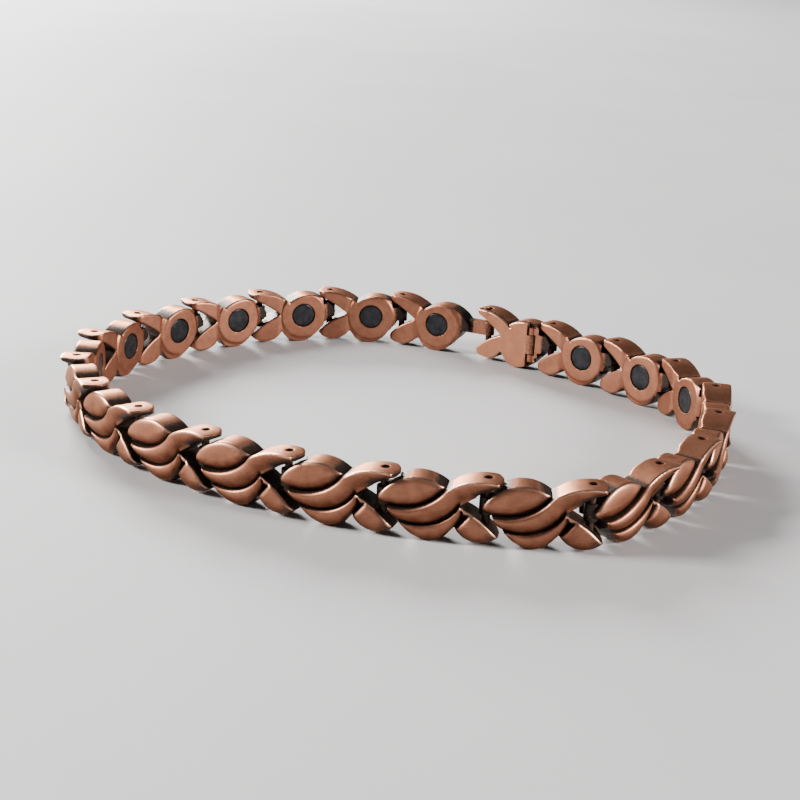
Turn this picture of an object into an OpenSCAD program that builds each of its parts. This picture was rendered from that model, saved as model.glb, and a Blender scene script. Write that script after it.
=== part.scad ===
/* [Chain] */
// Distance from one link pivot to the next
link_pitch = 9.8; // [9:0.1:12]
// Height of the band
link_height = 6.7; // [6.2:0.1:9]
// Thickness of a link from its inner boss to the crown of its relief
link_thickness = 3; // [2.8:0.1:4]
// How much longer the tongue of the chain's end link is, which the clasp holds
end_tongue = 2.8; // [2:0.1:4]
// Gap that a turning prong keeps from the next link
turn_gap = 0.15; // [0.1:0.05:0.3]

/* [Relief] */
// Height of the raised petals, vine and leaf over the link's front
relief_depth = 0.5; // [0.3:0.05:0.8]
// Width of the grooves between the raised forms
groove_w = 0.2; // [0.1:0.05:0.4]
// How far the sides of the raised forms lean in
relief_lean = 0.5; // [0.2:0.05:0.6]

/* [Pivots] */
// Diameter of a link pin
pin_d = 0.8; // [0.6:0.05:1]
// Radial clearance of a link pin in its holes
pin_fit = 0.04; // [0.02:0.01:0.1]
// Wall of the tongue round its pin
tongue_wall = 0.28; // [0.2:0.02:0.5]
// How far a prong reaches past its pin
prong_reach = 1.65; // [1.4:0.05:2]
// Depth of a pin's end below the top of its prong
pin_recess = 0.3; // [0.1:0.05:0.6]
// Metal under a pin in the lower prong
pin_floor = 0.3; // [0.2:0.05:0.6]

/* [Magnets] */
// Diameter of a magnet
magnet_d = 3; // [2:0.1:4]
// Thickness of a magnet
magnet_t = 1; // [0.6:0.1:1.4]
// Gap round and under a magnet in its cup
magnet_fit = 0.05; // [0.02:0.01:0.1]
// Wall of the cup round a magnet
cup_wall = 1.5; // [0.6:0.05:1.8]
// Height of the cup's boss over the link's back
cup_rise = 0.25; // [0.1:0.05:0.5]

/* [Clasp] */
// Thickness of the clasp's lever
lever_t = 0.6; // [0.5:0.05:0.8]
// Gap between the lever and the clasp link
lever_gap = 0.1; // [0.05:0.05:0.2]
// Diameter of the lever's hinge pin
hinge_pin_d = 0.44; // [0.4:0.02:0.6]
// Radial clearance of the hinge pin
hinge_fit = 0.03; // [0.02:0.01:0.05]
// Wall of the hinge's knuckles round their pin
hinge_wall = 0.22; // [0.2:0.02:0.3]
// Length of the lever's own hinge knuckle
hinge_knuckle_h = 2.5; // [1.5:0.1:2.8]
// Length of each hinge lug on the clasp link
hinge_lug_h = 0.9; // [0.6:0.1:1.2]

/* [Hidden] */
LINK_NAMES = ["link_01", "link_02", "link_03", "link_04", "link_05", "link_06", "link_07",
    "link_08", "link_09", "link_10", "link_11", "link_12", "link_13", "link_14", "link_15",
    "link_16", "link_17", "link_18", "link_19", "link_20", "link_21"];
MAGNET_NAMES = ["magnet_01", "magnet_02", "magnet_03", "magnet_04", "magnet_05", "magnet_06",
    "magnet_07", "magnet_08", "magnet_09", "magnet_10", "magnet_11", "magnet_12", "magnet_13",
    "magnet_14", "magnet_15", "magnet_16", "magnet_17", "magnet_18", "magnet_19", "magnet_20",
    "magnet_21"];
$fn = 96;

// The loop as it lies. Its sharpest bend is at this pin, and the two links there close the loop.
bend_pin = 14;
// Headings of the other links in degrees, counterclockwise from the next pin after the bend
headings = [56, 70, 82, 109, 129, 139, 143, 157, 178, 201, 218, 232, 249, 270, 293, 308, 322, 332,
    342, 352];
start_pin = [2.654, -2.796] * link_pitch;

// A link's forms in its own plane: shares of the pitch from its first pin, and of the height.
// Each arc is given by its start, middle and end.
petal_top = [[-0.043, 0.619], [0.337, 0.949], [0.617, 0.813]];
petal_bottom = [[-0.031, 0.515], [0.296, 0.493], [0.617, 0.813]];
petal_end = [[-0.034, 0.493], [-0.046, 0.627], [-0.034, 0.761]];
vine_bottom = [[0.112, 0.313], [0.347, 0.236], [0.75, 0.567]];
vine_top = [[0.617, 0.813], [1.01, 1], [1.403, 0.813]];
vine_under = [[0.745, 0.576], [0.944, 0.769], [1.153, 0.918]];
crescent_bottom = [[0.189, 0.221], [0.459, 0], [0.729, 0.221]];
leaf_top = [[0.745, 0.558], [0.969, 0.388], [1.138, 0.149]];
leaf_bottom = [[0.716, 0.209], [0.959, 0.034], [1.138, 0.149]];
// Corners of the plain fields that the arcs are cut from
vine_field = [[0.036, 0.522], [0.163, 0.179], [0.84, 0.179], [0.806, 0.582], [0.704, 0.776],
    [0.306, 0.776]];
prong_field = [[0.561, 0.687], [0.765, 0.44], [1.25, 0.7], [1.25, 1.1], [0.561, 1.1]];
crescent_field = [[0.143, 0.373], [0.357, 0.358], [0.561, 0.478], [0.714, 0.657], [0.878, 0.545],
    [0.571, -0.024], [0.12, -0.03]];
leaf_field = [[0.745, 0.56], [0.553, -0.024], [1.25, -0.03], [1.25, 0.6]];
// The line across the vine where its body passes into its prong, and the groove beside the leaf
vine_split = [[0.617, 0.813], [0.75, 0.567]];
cup_middle = [0.418, 0.545];
tongue_span = [0.39, 0.745];
knuckle_span = [0.46, 0.72];
hinge_place = [0.25, 0.52];

back = -link_thickness / 2;
crown = link_thickness / 2;
plate_back = back + cup_rise;
plate_front = crown - relief_depth;
weld = 0.1;
pin_bore_r = pin_d / 2 + pin_fit;
knuckle_r = pin_bore_r + tongue_wall;
turn_r = prong_reach + turn_gap;
cup_bore_r = magnet_d / 2 + magnet_fit;
cup_r = cup_bore_r + cup_wall;
magnet_back = back + magnet_fit;
pin_bottom = leaf_bottom[1][1] * link_height + pin_floor;
pin_top = link_height - pin_recess;

hinge_bore_r = hinge_pin_d / 2 + hinge_fit;
hinge_r = hinge_bore_r + hinge_wall;
lever_back = back + lever_gap;
lever_front = lever_back + lever_t;
clasp_back = lever_front + lever_gap;
hinge_t = lever_back + hinge_r;
hinge_a = hinge_place[0] * link_pitch;
hinge_z = hinge_place[1] * link_height;
knuckle_bottom = hinge_z - hinge_knuckle_h / 2;
knuckle_top = hinge_z + hinge_knuckle_h / 2;
lug_bottom = knuckle_bottom - lever_gap - hinge_lug_h;
lug_top = knuckle_top + lever_gap + hinge_lug_h;
shoulder_a = hinge_a - hinge_r - 2 * lever_gap;

// Place in the link's plane of a share of its pitch and height
function place(p) = [p[0] * link_pitch, p[1] * link_height];
function places(list) = [for (p = list) place(p)];

// Middle and radius of the circle through the three points of an arc, as [x, y, radius]
function through(arc) = let (
    p = places(arc),
    u = p[1] - p[0],
    v = p[2] - p[0],
    d = 2 * (u[0] * v[1] - u[1] * v[0]),
    x = (v[1] * (u * u) - u[1] * (v * v)) / d,
    y = (u[0] * (v * v) - v[0] * (u * u)) / d)
    [p[0][0] + x, p[0][1] + y, norm([x, y])];

// Pins of the loop, counted from the clasp link's far pin, by walking along the headings
link_count = len(headings) + 2;
function walked_link(k) = (bend_pin + 1 + k) % link_count;
function extra(i) = i == 0 ? end_tongue : 0;
function step(k) = (link_pitch + extra(walked_link(k))) * [cos(headings[k]), sin(headings[k])];
function walk(from, k) = k == len(headings) ? [from] : concat([from], walk(from + step(k), k + 1));
walked = walk(start_pin, 0);
// The pin at the bend lies one pitch from both ends of the walk, on the outer side
gap_ends = [walked[len(headings)], start_pin];
gap_step = gap_ends[1] - gap_ends[0];
gap_rise = sqrt(pow(link_pitch, 2) - gap_step * gap_step / 4);
gap_out = [gap_step[1], -gap_step[0]] / norm(gap_step);
corner_pin = (gap_ends[0] + gap_ends[1]) / 2 + gap_rise * gap_out;
route = concat(walked, [corner_pin]);
pins = [for (i = [0:link_count - 1]) route[(i + link_count - bend_pin - 1) % link_count]];
function heading(i) = let (run = pins[(i + 1) % link_count] - pins[i]) atan2(run[1], run[0]);

// Puts a piece that is drawn in a link's own frame at link number i of the loop. The frame starts
// one pitch before the link's second pin, which is its first pin unless its tongue is longer.
module at_link(i) {
    translate([pins[i][0], pins[i][1], 0])
        rotate([0, 0, heading(i)])
            translate([extra(i), 0, 0])
                children();
}

// Stands what is drawn in the link's plane upright, its outer side to the outside of the loop
module upright() {
    rotate([90, 0, 0])
        children();
}

// A disc inside an arc's circle, made smaller by inset
module disc(arc, inset = 0) {
    c = through(arc);
    translate([c[0], c[1]])
        circle(r = c[2] - inset);
}

module field(list) {
    polygon(places(list));
}

// Front outline of the whole link, drawn smaller by inset along its arcs
module link_outline(inset = 0) {
    intersection() {
        disc(petal_top, inset);
        disc(petal_bottom);
        disc(petal_end, inset);
    }
    intersection() {
        disc(vine_bottom, inset);
        field(vine_field);
    }
    difference() {
        intersection() {
            disc(vine_top, inset);
            field(prong_field);
        }
        disc(vine_under, -inset);
    }
    intersection() {
        disc(crescent_bottom, inset);
        disc(leaf_top, inset);
        field(crescent_field);
    }
    intersection() {
        disc(leaf_top, inset);
        disc(leaf_bottom, inset);
        field(leaf_field);
    }
}

// The side of a raised form inside an arc: it leans in as it rises from the link's front
module raised(arc) {
    c = through(arc);
    translate([c[0], c[1], plate_front - weld])
        cylinder(h = relief_depth + weld, r1 = c[2] - groove_w / 2,
            r2 = c[2] - groove_w / 2 - relief_lean);
}

// The same for a form outside an arc, as the cutter that leaves it, past the form at both ends
module sunk(arc) {
    c = through(arc);
    lean = weld * relief_lean / (relief_depth + weld);
    translate([c[0], c[1], plate_front - 2 * weld])
        cylinder(h = relief_depth + 3 * weld, r1 = c[2] + groove_w / 2 - lean,
            r2 = c[2] + groove_w / 2 + relief_lean + lean);
}

// The raised forms' field between the corners of list
module slab(list) {
    translate([0, 0, plate_front - 2 * weld])
        linear_extrude(relief_depth + 4 * weld)
            polygon(list);
}

module petal_relief() {
    intersection() {
        raised(petal_top);
        raised(petal_bottom);
        raised(petal_end);
    }
}

// The vine: its body under the petal, which reaches a little past the split, and its prong
module vine_relief() {
    split = places(vine_split);
    run = split[1] - split[0];
    low = split[1] + run;
    high = split[0] - run;
    past = weld * [-run[1], run[0]] / norm(run);
    difference() {
        intersection() {
            raised(vine_bottom);
            slab([place(vine_field[0]), place(vine_field[1]), low + past, high + past]);
        }
        sunk(petal_bottom);
    }
    difference() {
        intersection() {
            raised(vine_top);
            slab([high, low, low + [link_pitch, 0], high + [link_pitch, 0]]);
        }
        sunk(vine_under);
    }
}

module crescent_relief() {
    top = place(crescent_field[4]) - [groove_w / 2, 0];
    foot = place(crescent_field[5]) - [groove_w / 2, 0];
    difference() {
        intersection() {
            raised(crescent_bottom);
            raised(leaf_top);
            slab([foot, top, [0, top[1]], [0, foot[1]]]);
        }
        sunk(vine_bottom);
    }
}

module leaf_relief() {
    top = place(crescent_field[4]) + [groove_w / 2, 0];
    foot = place(crescent_field[5]) + [groove_w / 2, 0];
    intersection() {
        raised(leaf_top);
        raised(leaf_bottom);
        slab([top, foot, [2 * link_pitch, foot[1]], [2 * link_pitch, top[1]]]);
    }
}

module reliefs() {
    petal_relief();
    vine_relief();
    crescent_relief();
    leaf_relief();
}

// The link's plate between two levels of its thickness
module plate(from, to) {
    translate([0, 0, from])
        linear_extrude(to - from)
            link_outline();
}

// The tongue's round end about the link's first pin, and its shank where it is longer
module tongue_knuckle(longer = 0) {
    h = (knuckle_span[1] - knuckle_span[0]) * link_height;
    translate([-longer, 0, knuckle_span[0] * link_height]) {
        cylinder(h = h, r = knuckle_r);
        if (longer > 0)
            translate([0, -knuckle_r, 0])
                cube([longer + knuckle_r, 2 * knuckle_r, h]);
    }
}

// Room over and under the tongue, on the inner side, for the prongs of the link before
module turn_room() {
    top = tongue_span[1] * link_height;
    for (level = [[-weld, tongue_span[0] * link_height], [top, link_height + weld]])
        intersection() {
            translate([0, 0, level[0]])
                cylinder(h = level[1] - level[0], r = turn_r);
            translate([-2 * turn_r, 0, level[0] - weld])
                cube([4 * turn_r, 2 * turn_r, level[1] - level[0] + 2 * weld]);
        }
}

// What lies outside the round ends of the prongs
module prong_trim() {
    difference() {
        translate([link_pitch, -link_thickness, -weld])
            cube([link_pitch, 2 * link_thickness, link_height + 2 * weld]);
        translate([link_pitch, 0, -2 * weld])
            cylinder(h = link_height + 4 * weld, r = prong_reach);
    }
}

// Holes for the pin through the tongue and for the pin through the prongs
module pin_holes(longer = 0) {
    translate([-longer, 0, -weld])
        cylinder(h = link_height + 2 * weld, r = pin_bore_r);
    translate([link_pitch, 0, pin_bottom - pin_fit])
        cylinder(h = link_height, r = pin_bore_r);
}

// The boss of the magnet's cup, as far as the link's outline reaches
module magnet_boss() {
    middle = place(cup_middle);
    intersection() {
        plate(back, plate_back + weld);
        translate([middle[0], middle[1], back - weld])
            cylinder(h = cup_rise + 3 * weld, r = cup_r);
    }
}

module magnet_hole() {
    middle = place(cup_middle);
    translate([middle[0], middle[1], back - weld])
        cylinder(h = magnet_t + 2 * magnet_fit + weld, r = cup_bore_r);
}

// One link: tongue at its first pin, two prongs at its second
module link(longer = 0) {
    color([0.72, 0.43, 0.3])
        difference() {
            union() {
                upright() {
                    plate(plate_back, plate_front);
                    magnet_boss();
                    reliefs();
                }
                tongue_knuckle(longer);
            }
            upright()
                magnet_hole();
            if (longer == 0)
                turn_room();
            prong_trim();
            pin_holes(longer);
        }
}

module magnet() {
    middle = place(cup_middle);
    color([0.2, 0.2, 0.22])
        upright()
            translate([middle[0], middle[1], magnet_back])
                cylinder(h = magnet_t, r = magnet_d / 2);
}

// The pins that join the links, one at each pivot
module link_pins() {
    color([0.45, 0.28, 0.2])
        for (p = pins)
            translate([p[0], p[1], pin_bottom])
                cylinder(h = pin_top - pin_bottom, r = pin_d / 2);
}

// A hinge part on the lever's axis between two heights, in the link's own frame
module on_hinge(from, to, r) {
    translate([hinge_a, -hinge_t, from])
        cylinder(h = to - from, r = r);
}

// The lugs that hold the lever's hinge pin
module hinge_lugs() {
    for (level = [[lug_bottom, knuckle_bottom - lever_gap], [knuckle_top + lever_gap, lug_top]]) {
        on_hinge(level[0], level[1], hinge_r);
        translate([shoulder_a - weld, -clasp_back - weld, level[0]])
            cube([hinge_a - shoulder_a + weld, clasp_back + weld - hinge_t + hinge_r / 2,
                level[1] - level[0]]);
    }
}

// The clasp link: thinner behind its shoulder, where the lever folds in
module clasp_link() {
    color([0.72, 0.43, 0.3])
        at_link(link_count - 1)
            difference() {
                union() {
                    upright() {
                        plate(clasp_back, plate_front);
                        intersection() {
                            plate(plate_back, plate_front);
                            translate([-link_pitch, -weld, 2 * back])
                                cube([link_pitch + shoulder_a, link_height + 2 * weld,
                                    2 * link_thickness]);
                        }
                        reliefs();
                    }
                    tongue_knuckle();
                    hinge_lugs();
                }
                turn_room();
                prong_trim();
                pin_holes();
                pin_slots();
                on_hinge(knuckle_bottom - lever_gap, knuckle_top + lever_gap, hinge_r + lever_gap);
                on_hinge(-weld, link_height + weld, hinge_bore_r);
            }
}

// Slots through which the end pin of the chain leaves the prongs, inward
module pin_slots() {
    translate([link_pitch - pin_bore_r, 0, pin_bottom - pin_fit])
        cube([2 * pin_bore_r, link_thickness, link_height]);
}

// The lever: a plain plate over the clasp link's back, whose two toes close the pin slots
module clasp_lever() {
    color([0.76, 0.48, 0.35])
        at_link(link_count - 1)
            difference() {
                union() {
                    upright()
                        intersection() {
                            translate([0, 0, lever_back])
                                linear_extrude(lever_t)
                                    link_outline(lever_gap);
                            translate([hinge_a, -weld, 2 * back])
                                cube([link_pitch, link_height + 2 * weld, link_thickness]);
                        }
                    on_hinge(knuckle_bottom, knuckle_top, hinge_r);
                }
                for (level = [[-weld, knuckle_bottom], [knuckle_top, link_height + weld]])
                    translate([0, -hinge_t - link_thickness, level[0]])
                        cube([hinge_a + hinge_r + lever_gap, 2 * link_thickness,
                            level[1] - level[0]]);
                prong_trim();
                on_hinge(-weld, link_height + weld, hinge_bore_r);
            }
}

module clasp_pin() {
    color([0.45, 0.28, 0.2])
        at_link(link_count - 1)
            on_hinge(lug_bottom, lug_top, hinge_pin_d / 2);
}

for (i = [0:len(LINK_NAMES) - 1]) {
    at_link(i) link(extra(i));
    at_link(i) magnet();
}
link_pins();
clasp_link();
clasp_lever();
clasp_pin();
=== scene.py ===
import math

import bpy
import numpy as np
from mathutils import Matrix, Vector


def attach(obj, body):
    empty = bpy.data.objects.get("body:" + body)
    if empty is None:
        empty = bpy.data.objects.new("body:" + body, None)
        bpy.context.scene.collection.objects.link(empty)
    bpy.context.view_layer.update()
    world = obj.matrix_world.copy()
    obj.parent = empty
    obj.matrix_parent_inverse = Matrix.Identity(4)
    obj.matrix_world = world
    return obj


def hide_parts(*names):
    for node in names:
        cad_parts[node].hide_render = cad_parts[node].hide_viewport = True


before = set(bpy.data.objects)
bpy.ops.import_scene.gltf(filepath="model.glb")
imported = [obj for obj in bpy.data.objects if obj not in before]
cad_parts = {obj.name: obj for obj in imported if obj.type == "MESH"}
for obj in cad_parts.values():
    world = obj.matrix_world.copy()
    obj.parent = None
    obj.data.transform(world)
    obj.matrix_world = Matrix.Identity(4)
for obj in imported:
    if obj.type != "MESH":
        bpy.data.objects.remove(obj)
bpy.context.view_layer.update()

# Driving sizes of the part's source, in millimetres
PITCH = 9.8
HEIGHT = 6.7
END_TONGUE = 2.8
MM_PER_M = 1000

# Links with magnets, numbered from 0, and the clasp link's number after them
LINKS = 21
CLASP = LINKS

# Pins and pivots: radii, and spans as low and high ends
PIN_R = 0.4
PIN_GAP = 0.04
PIN_BORE = PIN_R + PIN_GAP
PIN_BOTTOM = 0.528
PIN_TOP = 6.4
PIN_EDGE = 0.05
PIN_SEGMENTS = 40
KNUCKLE_R = 0.72
KNUCKLE_SPAN = (0.46 * HEIGHT, 0.72 * HEIGHT)
TONGUE_ROOM = (0.39 * HEIGHT, 0.745 * HEIGHT)
TURN_R = 1.8
SHANK_END = 1

# A pin's head: how far each point is set in and set down, in parts of its edge
HEAD_POINTS = ((0, 1), (0.4, 0.3), (1.6, 0))

# The link's inner side: levels from its middle plane, and where the plate rises to the boss and the prongs
BACK = -1.5
PLATE_BACK = -1.25
RAISED_R = 3.2
RAISED_SLOPE = (-0.15, 0.35)
PRONG_SLOPE = (6.6, 7.6)

# The boss, its cup and the magnet
CUP = (0.418 * PITCH, 0.545 * HEIGHT)
CUP_R = 1.55
CUP_FLOOR = -0.4
BOSS_R = 3.05
BOSS_FRONT = -0.7
BOSS_CUT = 0.6
BOSS_CUT_SLOPE = (-0.9, 0.3)
MAGNET_R = 1.5
MAGNET_SPAN = (-1.45, -0.45)
MAGNET_EDGE = 0.14
MAGNET_HIDDEN_EDGE = 0.03
MAGNET_SEGMENTS = 72
QUARTER_STEPS = 4

# The prongs' ends: how far they go past the pin, inward and outward
REACH = 1.65
PRONG_LENGTH = 1.5
PRONG_FRONT = 2.15
PRONG_TAPER = 0.15
SQUARENESS = 4

# The clasp's hinge, and the lever's plate
CLASP_BACK = -0.7
SHOULDER = 1.78
HINGE = (0.25 * PITCH, -0.93)
HINGE_R = 0.47
HINGE_GAP = 0.1
HINGE_BORE = 0.25
HINGE_PIN_R = 0.22
HINGE_PIN_EDGE = 0.04
HINGE_PIN_SEGMENTS = 32
LUGS = ((1.234, 2.134), (4.834, 5.734))
LUG_BLOCK = (-1.165, -0.6)
LUG_OVERLAP = 0.1
LEVER_KNUCKLE = (2.234, 4.734)
LEVER_SPAN = (-1.4, -0.8)
LEVER_INSET = 0.1

# The loop as it lies, as in the source
BEND_PIN = 14
HEADINGS = [56, 70, 82, 109, 129, 139, 143, 157, 178, 201, 218, 232, 249, 270, 293, 308, 322, 332,
            342, 352]
START_PIN = (2.654 * PITCH, -2.796 * PITCH)

# A link's forms in its own plane, as the source's arcs: shares of the pitch and the height
ARCS = {
    "petal_top": [[-0.043, 0.619], [0.337, 0.949], [0.617, 0.813]],
    "petal_bottom": [[-0.031, 0.515], [0.296, 0.493], [0.617, 0.813]],
    "petal_end": [[-0.034, 0.493], [-0.046, 0.627], [-0.034, 0.761]],
    "vine_bottom": [[0.112, 0.313], [0.347, 0.236], [0.75, 0.567]],
    "vine_top": [[0.617, 0.813], [1.01, 1.0], [1.403, 0.813]],
    "vine_under": [[0.745, 0.576], [0.944, 0.769], [1.153, 0.918]],
    "crescent_bottom": [[0.189, 0.221], [0.459, 0.0], [0.729, 0.221]],
    "leaf_top": [[0.745, 0.558], [0.969, 0.388], [1.138, 0.149]],
    "leaf_bottom": [[0.716, 0.209], [0.959, 0.034], [1.138, 0.149]],
}
FIELDS = {
    "vine": [[0.036, 0.522], [0.163, 0.179], [0.77, 0.179], [0.748, 0.57], [0.704, 0.776],
             [0.306, 0.776]],
    "prong": [[0.561, 0.687], [0.765, 0.44], [1.25, 0.7], [1.25, 1.1], [0.561, 1.1]],
    "crescent": [[0.12, -0.03], [0.571, -0.024], [0.878, 0.545], [0.714, 0.657], [0.143, 0.373]],
    "leaf": [[0.553, -0.024], [1.25, -0.03], [1.25, 0.6], [0.745, 0.56]],
}
SPLIT = [[0.617, 0.813], [0.75, 0.567]]
LEAF_GROOVE = [[0.571, -0.024], [0.878, 0.545]]
HEEL = [[0.046, 0.463], [0.163, 0.179]]

# Relief: each form's crown over the middle plane, and its drop and the drop's width at each edge
PETAL_CROWN = 1.5
PETAL_DROPS = {"petal_top": (0.32, 1.3), "petal_bottom": (0.8, 1.25), "petal_end": (0.5, 1.0)}
LEAF_CROWN = 1.55
LEAF_DROPS = {"leaf_top": (0.25, 1.0), "leaf_bottom": (0.8, 1.5)}
LEAF_GROOVE_DROP = (0.85, 0.7)
DOME_POWER = 2.2

# Bars: upper and lower drop, and the crest's place from -1 at the upper edge to 1 at the lower
VINE_CROWN = 1.72
VINE_DROPS = (0.42, 0.9)
VINE_CREST = -0.35
PRONG_UPPER_DROP = 0.12
PRONG_CREST = -0.75
PRONG_START = (-0.6, 0.8)
EDGE_BLEND = (-0.9, 0.9)
CRESCENT_CROWN = 1.5
CRESCENT_DROPS = (0.35, 0.8)
CRESCENT_CREST = -0.35
CRESCENT_END_DROP = (0.7, 0.55)
HEEL_DROP = (0.35, 0.4)
HEEL_END = 3
BAR_ROUNDNESS = (0.35, 0.6)
NARROWEST = 0.4
BANK = 8

# The ridge along the leaf's upper rim
RIDGE_LEVEL = 1.3
RIDGE_WIDTH = 0.3
RIDGE_SPAN = (7.4, 8.8)
RIDGE_BANKS = (1.6, 4, 2)
GROOVE_FLOOR = 0.45

# Roundings of edges and fillets of joins
FRONT_EDGE = 0.14
BACK_EDGE = 0.25
END_EDGE = 0.12
CUP_EDGE = 0.12
BORE_EDGE = 0.07
KNUCKLE_EDGE = 0.08
SHANK_EDGE = 0.2
ROOM_EDGE = 0.06
ROOM_CORNER = 0.05
DRILLED_CORNER = 0.02
BOSS_FILLET = 0.08
KNUCKLE_FILLET = 0.05
CROTCH_FILLET = 0.3
FORM_FILLET = 0.1
RIDGE_FILLET = 0.2
CLASP_FRONT_EDGE = 0.1
CLASP_BACK_EDGE = 0.06
LUG_EDGE = 0.06
LUG_FILLET = 0.04
SLOT_EDGE = 0.05
LEVER_EDGE = 0.16
LEVER_END_EDGE = 0.1
LEVER_FILLET = 0.15

# Boxes and grid steps in which the castings are contoured, in a link's own frame
LINK_LOW = (-1.0, -1.75, -0.15)
LONG_LINK_LOW = (-3.9, -1.75, -0.15)
LINK_HIGH = (11.75, 2.05, 6.95)
LEVER_LOW = (1.7, -1.75, -0.15)
LEVER_HIGH = (11.75, -0.3, 6.95)
LINK_STEP = (0.12, 0.14, 0.12)
CLASP_STEP = (0.11, 0.11, 0.11)
LEVER_STEP = (0.1, 0.08, 0.1)
HALVINGS = 10
PROBE = 0.01
PULL = 0.08
CELL_MARGIN = 0.1
SHORTEST = 1e-9

# Degrees between two faces from which their edge is shaded sharp
SHARP_ANGLE = 38


def placed(shares):
    """Shares of the pitch and the height, as millimetres"""
    return np.array(shares, float) * [PITCH, HEIGHT]


def circle(arc):
    """Middle and radius of the circle through an arc's three points"""
    p = placed(arc)
    u, v = p[1] - p[0], p[2] - p[0]
    d = 2 * (u[0] * v[1] - u[1] * v[0])
    x = (v[1] * (u @ u) - u[1] * (v @ v)) / d
    y = (u[0] * (v @ v) - v[0] * (u @ u)) / d
    return p[0][0] + x, p[0][1] + y, math.hypot(x, y)


CIRCLES = {name: circle(arc) for name, arc in ARCS.items()}


def within(name, a, z):
    """Distance inside an arc's circle"""
    x, y, r = CIRCLES[name]
    return r - np.hypot(a - x, z - y)


def beside(line, a, z):
    """Distance to the left of a line, as it is walked"""
    p = placed(line)
    d = (p[1] - p[0]) / math.hypot(*(p[1] - p[0]))
    return (z - p[0][1]) * d[0] - (a - p[0][0]) * d[1]


def inside(name, a, z):
    """Distance inside a convex field"""
    corners = FIELDS[name]
    p = placed(corners)
    turn = sum(p[k - 1][0] * p[k][1] - p[k][0] * p[k - 1][1] for k in range(len(p)))
    sign = 1 if turn > 0 else -1
    return np.min([sign * beside([corners[k - 1], corners[k]], a, z)
                   for k in range(len(corners))], axis=0)


def blend(one, two, share):
    return one * (1 - share) + two * share


def smax(a, b, k):
    """The larger of two, rounded over where they are nearer than k"""
    h = np.maximum(k - np.abs(a - b), 0) / k
    return np.maximum(a, b) + h * h * k / 4


def smin(a, b, k):
    return -smax(-a, -b, k)


def ramp(x, low, high):
    """0 up to low, 1 from high on, and smooth between them"""
    s = np.clip((x - low) / (high - low), 0, 1)
    return s * s * (3 - 2 * s)


def fall(x, round_share=0.5):
    """Drop of a rounded form: 0 at its crest, 1 at its edge, steep past it"""
    steepness = 7
    n = np.clip(x, 0, 1)
    slope = 2 * round_share + steepness * (1 - round_share)
    return round_share * n ** 2 + (1 - round_share) * n ** steepness + slope * np.maximum(x - 1, 0)


def domed(crown, edges):
    """Dome that falls off near each of its edges: (distance inside, drop, width) a row"""
    total = 0
    for distance, drop, width in edges:
        total = total + (drop * fall(1 - distance / width)) ** DOME_POWER
    return crown - total ** (1 / DOME_POWER)


def across(up, down):
    """Place between an upper edge, at -1, and a lower edge, at 1"""
    return (up - down) / np.maximum(up + down, NARROWEST)


def bar(crown, up, down, drop_up, drop_down, crest):
    """Bar between an upper and a lower edge, from its distances to them"""
    place = across(up, down)
    upper = drop_up * fall((crest - place) / (1 + crest), BAR_ROUNDNESS[0])
    lower = drop_down * fall((place - crest) / (1 - crest), BAR_ROUNDNESS[1])
    outside = np.maximum(-np.minimum(up, down), 0)
    return crown - upper - lower - BANK * outside


def drop_beside(distance, drop, width):
    """Drop of a form near a straight end"""
    return drop * fall(1 - distance / width)


def vine_edges(a, z):
    """Distances to the vine's upper and lower edge, and how far past the petal's tip"""
    past = beside(SPLIT, a, z)
    share = ramp(past, *EDGE_BLEND)
    up = blend(-within("petal_bottom", a, z), within("vine_top", a, z), share)
    down = blend(within("vine_bottom", a, z), -within("vine_under", a, z), share)
    return up, down, past


def vine_front(a, z):
    up, down, past = vine_edges(a, z)
    on_prong = ramp(past, *PRONG_START)
    drop_up = blend(VINE_DROPS[0], PRONG_UPPER_DROP, on_prong)
    crest = blend(VINE_CREST, PRONG_CREST, on_prong)
    level = bar(VINE_CROWN, up, down, drop_up, VINE_DROPS[1], crest)
    return level - drop_beside(beside(HEEL, a, z), *HEEL_DROP) * (a < HEEL_END)


def leaf_ridge(a, z):
    off_rim = np.maximum(within("leaf_top", a, z) - RIDGE_WIDTH, 0)
    before = np.maximum(RIDGE_SPAN[0] - a, 0)
    after = np.maximum(a - RIDGE_SPAN[1], 0)
    return RIDGE_LEVEL - RIDGE_BANKS[0] * off_rim - RIDGE_BANKS[1] * before - RIDGE_BANKS[2] * after


def front(a, z):
    """Level of the link's outer side over its middle plane"""
    petal = domed(PETAL_CROWN, [(within(name, a, z), *drop) for name, drop in PETAL_DROPS.items()])
    vine = vine_front(a, z)
    groove = beside(LEAF_GROOVE, a, z)
    crescent = bar(CRESCENT_CROWN, -within("vine_bottom", a, z), within("crescent_bottom", a, z),
                   *CRESCENT_DROPS, CRESCENT_CREST)
    crescent = crescent - drop_beside(groove, *CRESCENT_END_DROP)
    leaf_edges = [(within(name, a, z), *drop) for name, drop in LEAF_DROPS.items()]
    leaf = domed(LEAF_CROWN, leaf_edges + [(-groove, *LEAF_GROOVE_DROP)])
    level = smax(smax(petal, vine, FORM_FILLET), smax(crescent, leaf, FORM_FILLET), FORM_FILLET)
    with_ridge = smax(level, leaf_ridge(a, z), RIDGE_FILLET)
    level = np.where(beside(SPLIT, a, z) > 0, with_ridge, level)
    return np.maximum(level, GROOVE_FLOOR)


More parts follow.
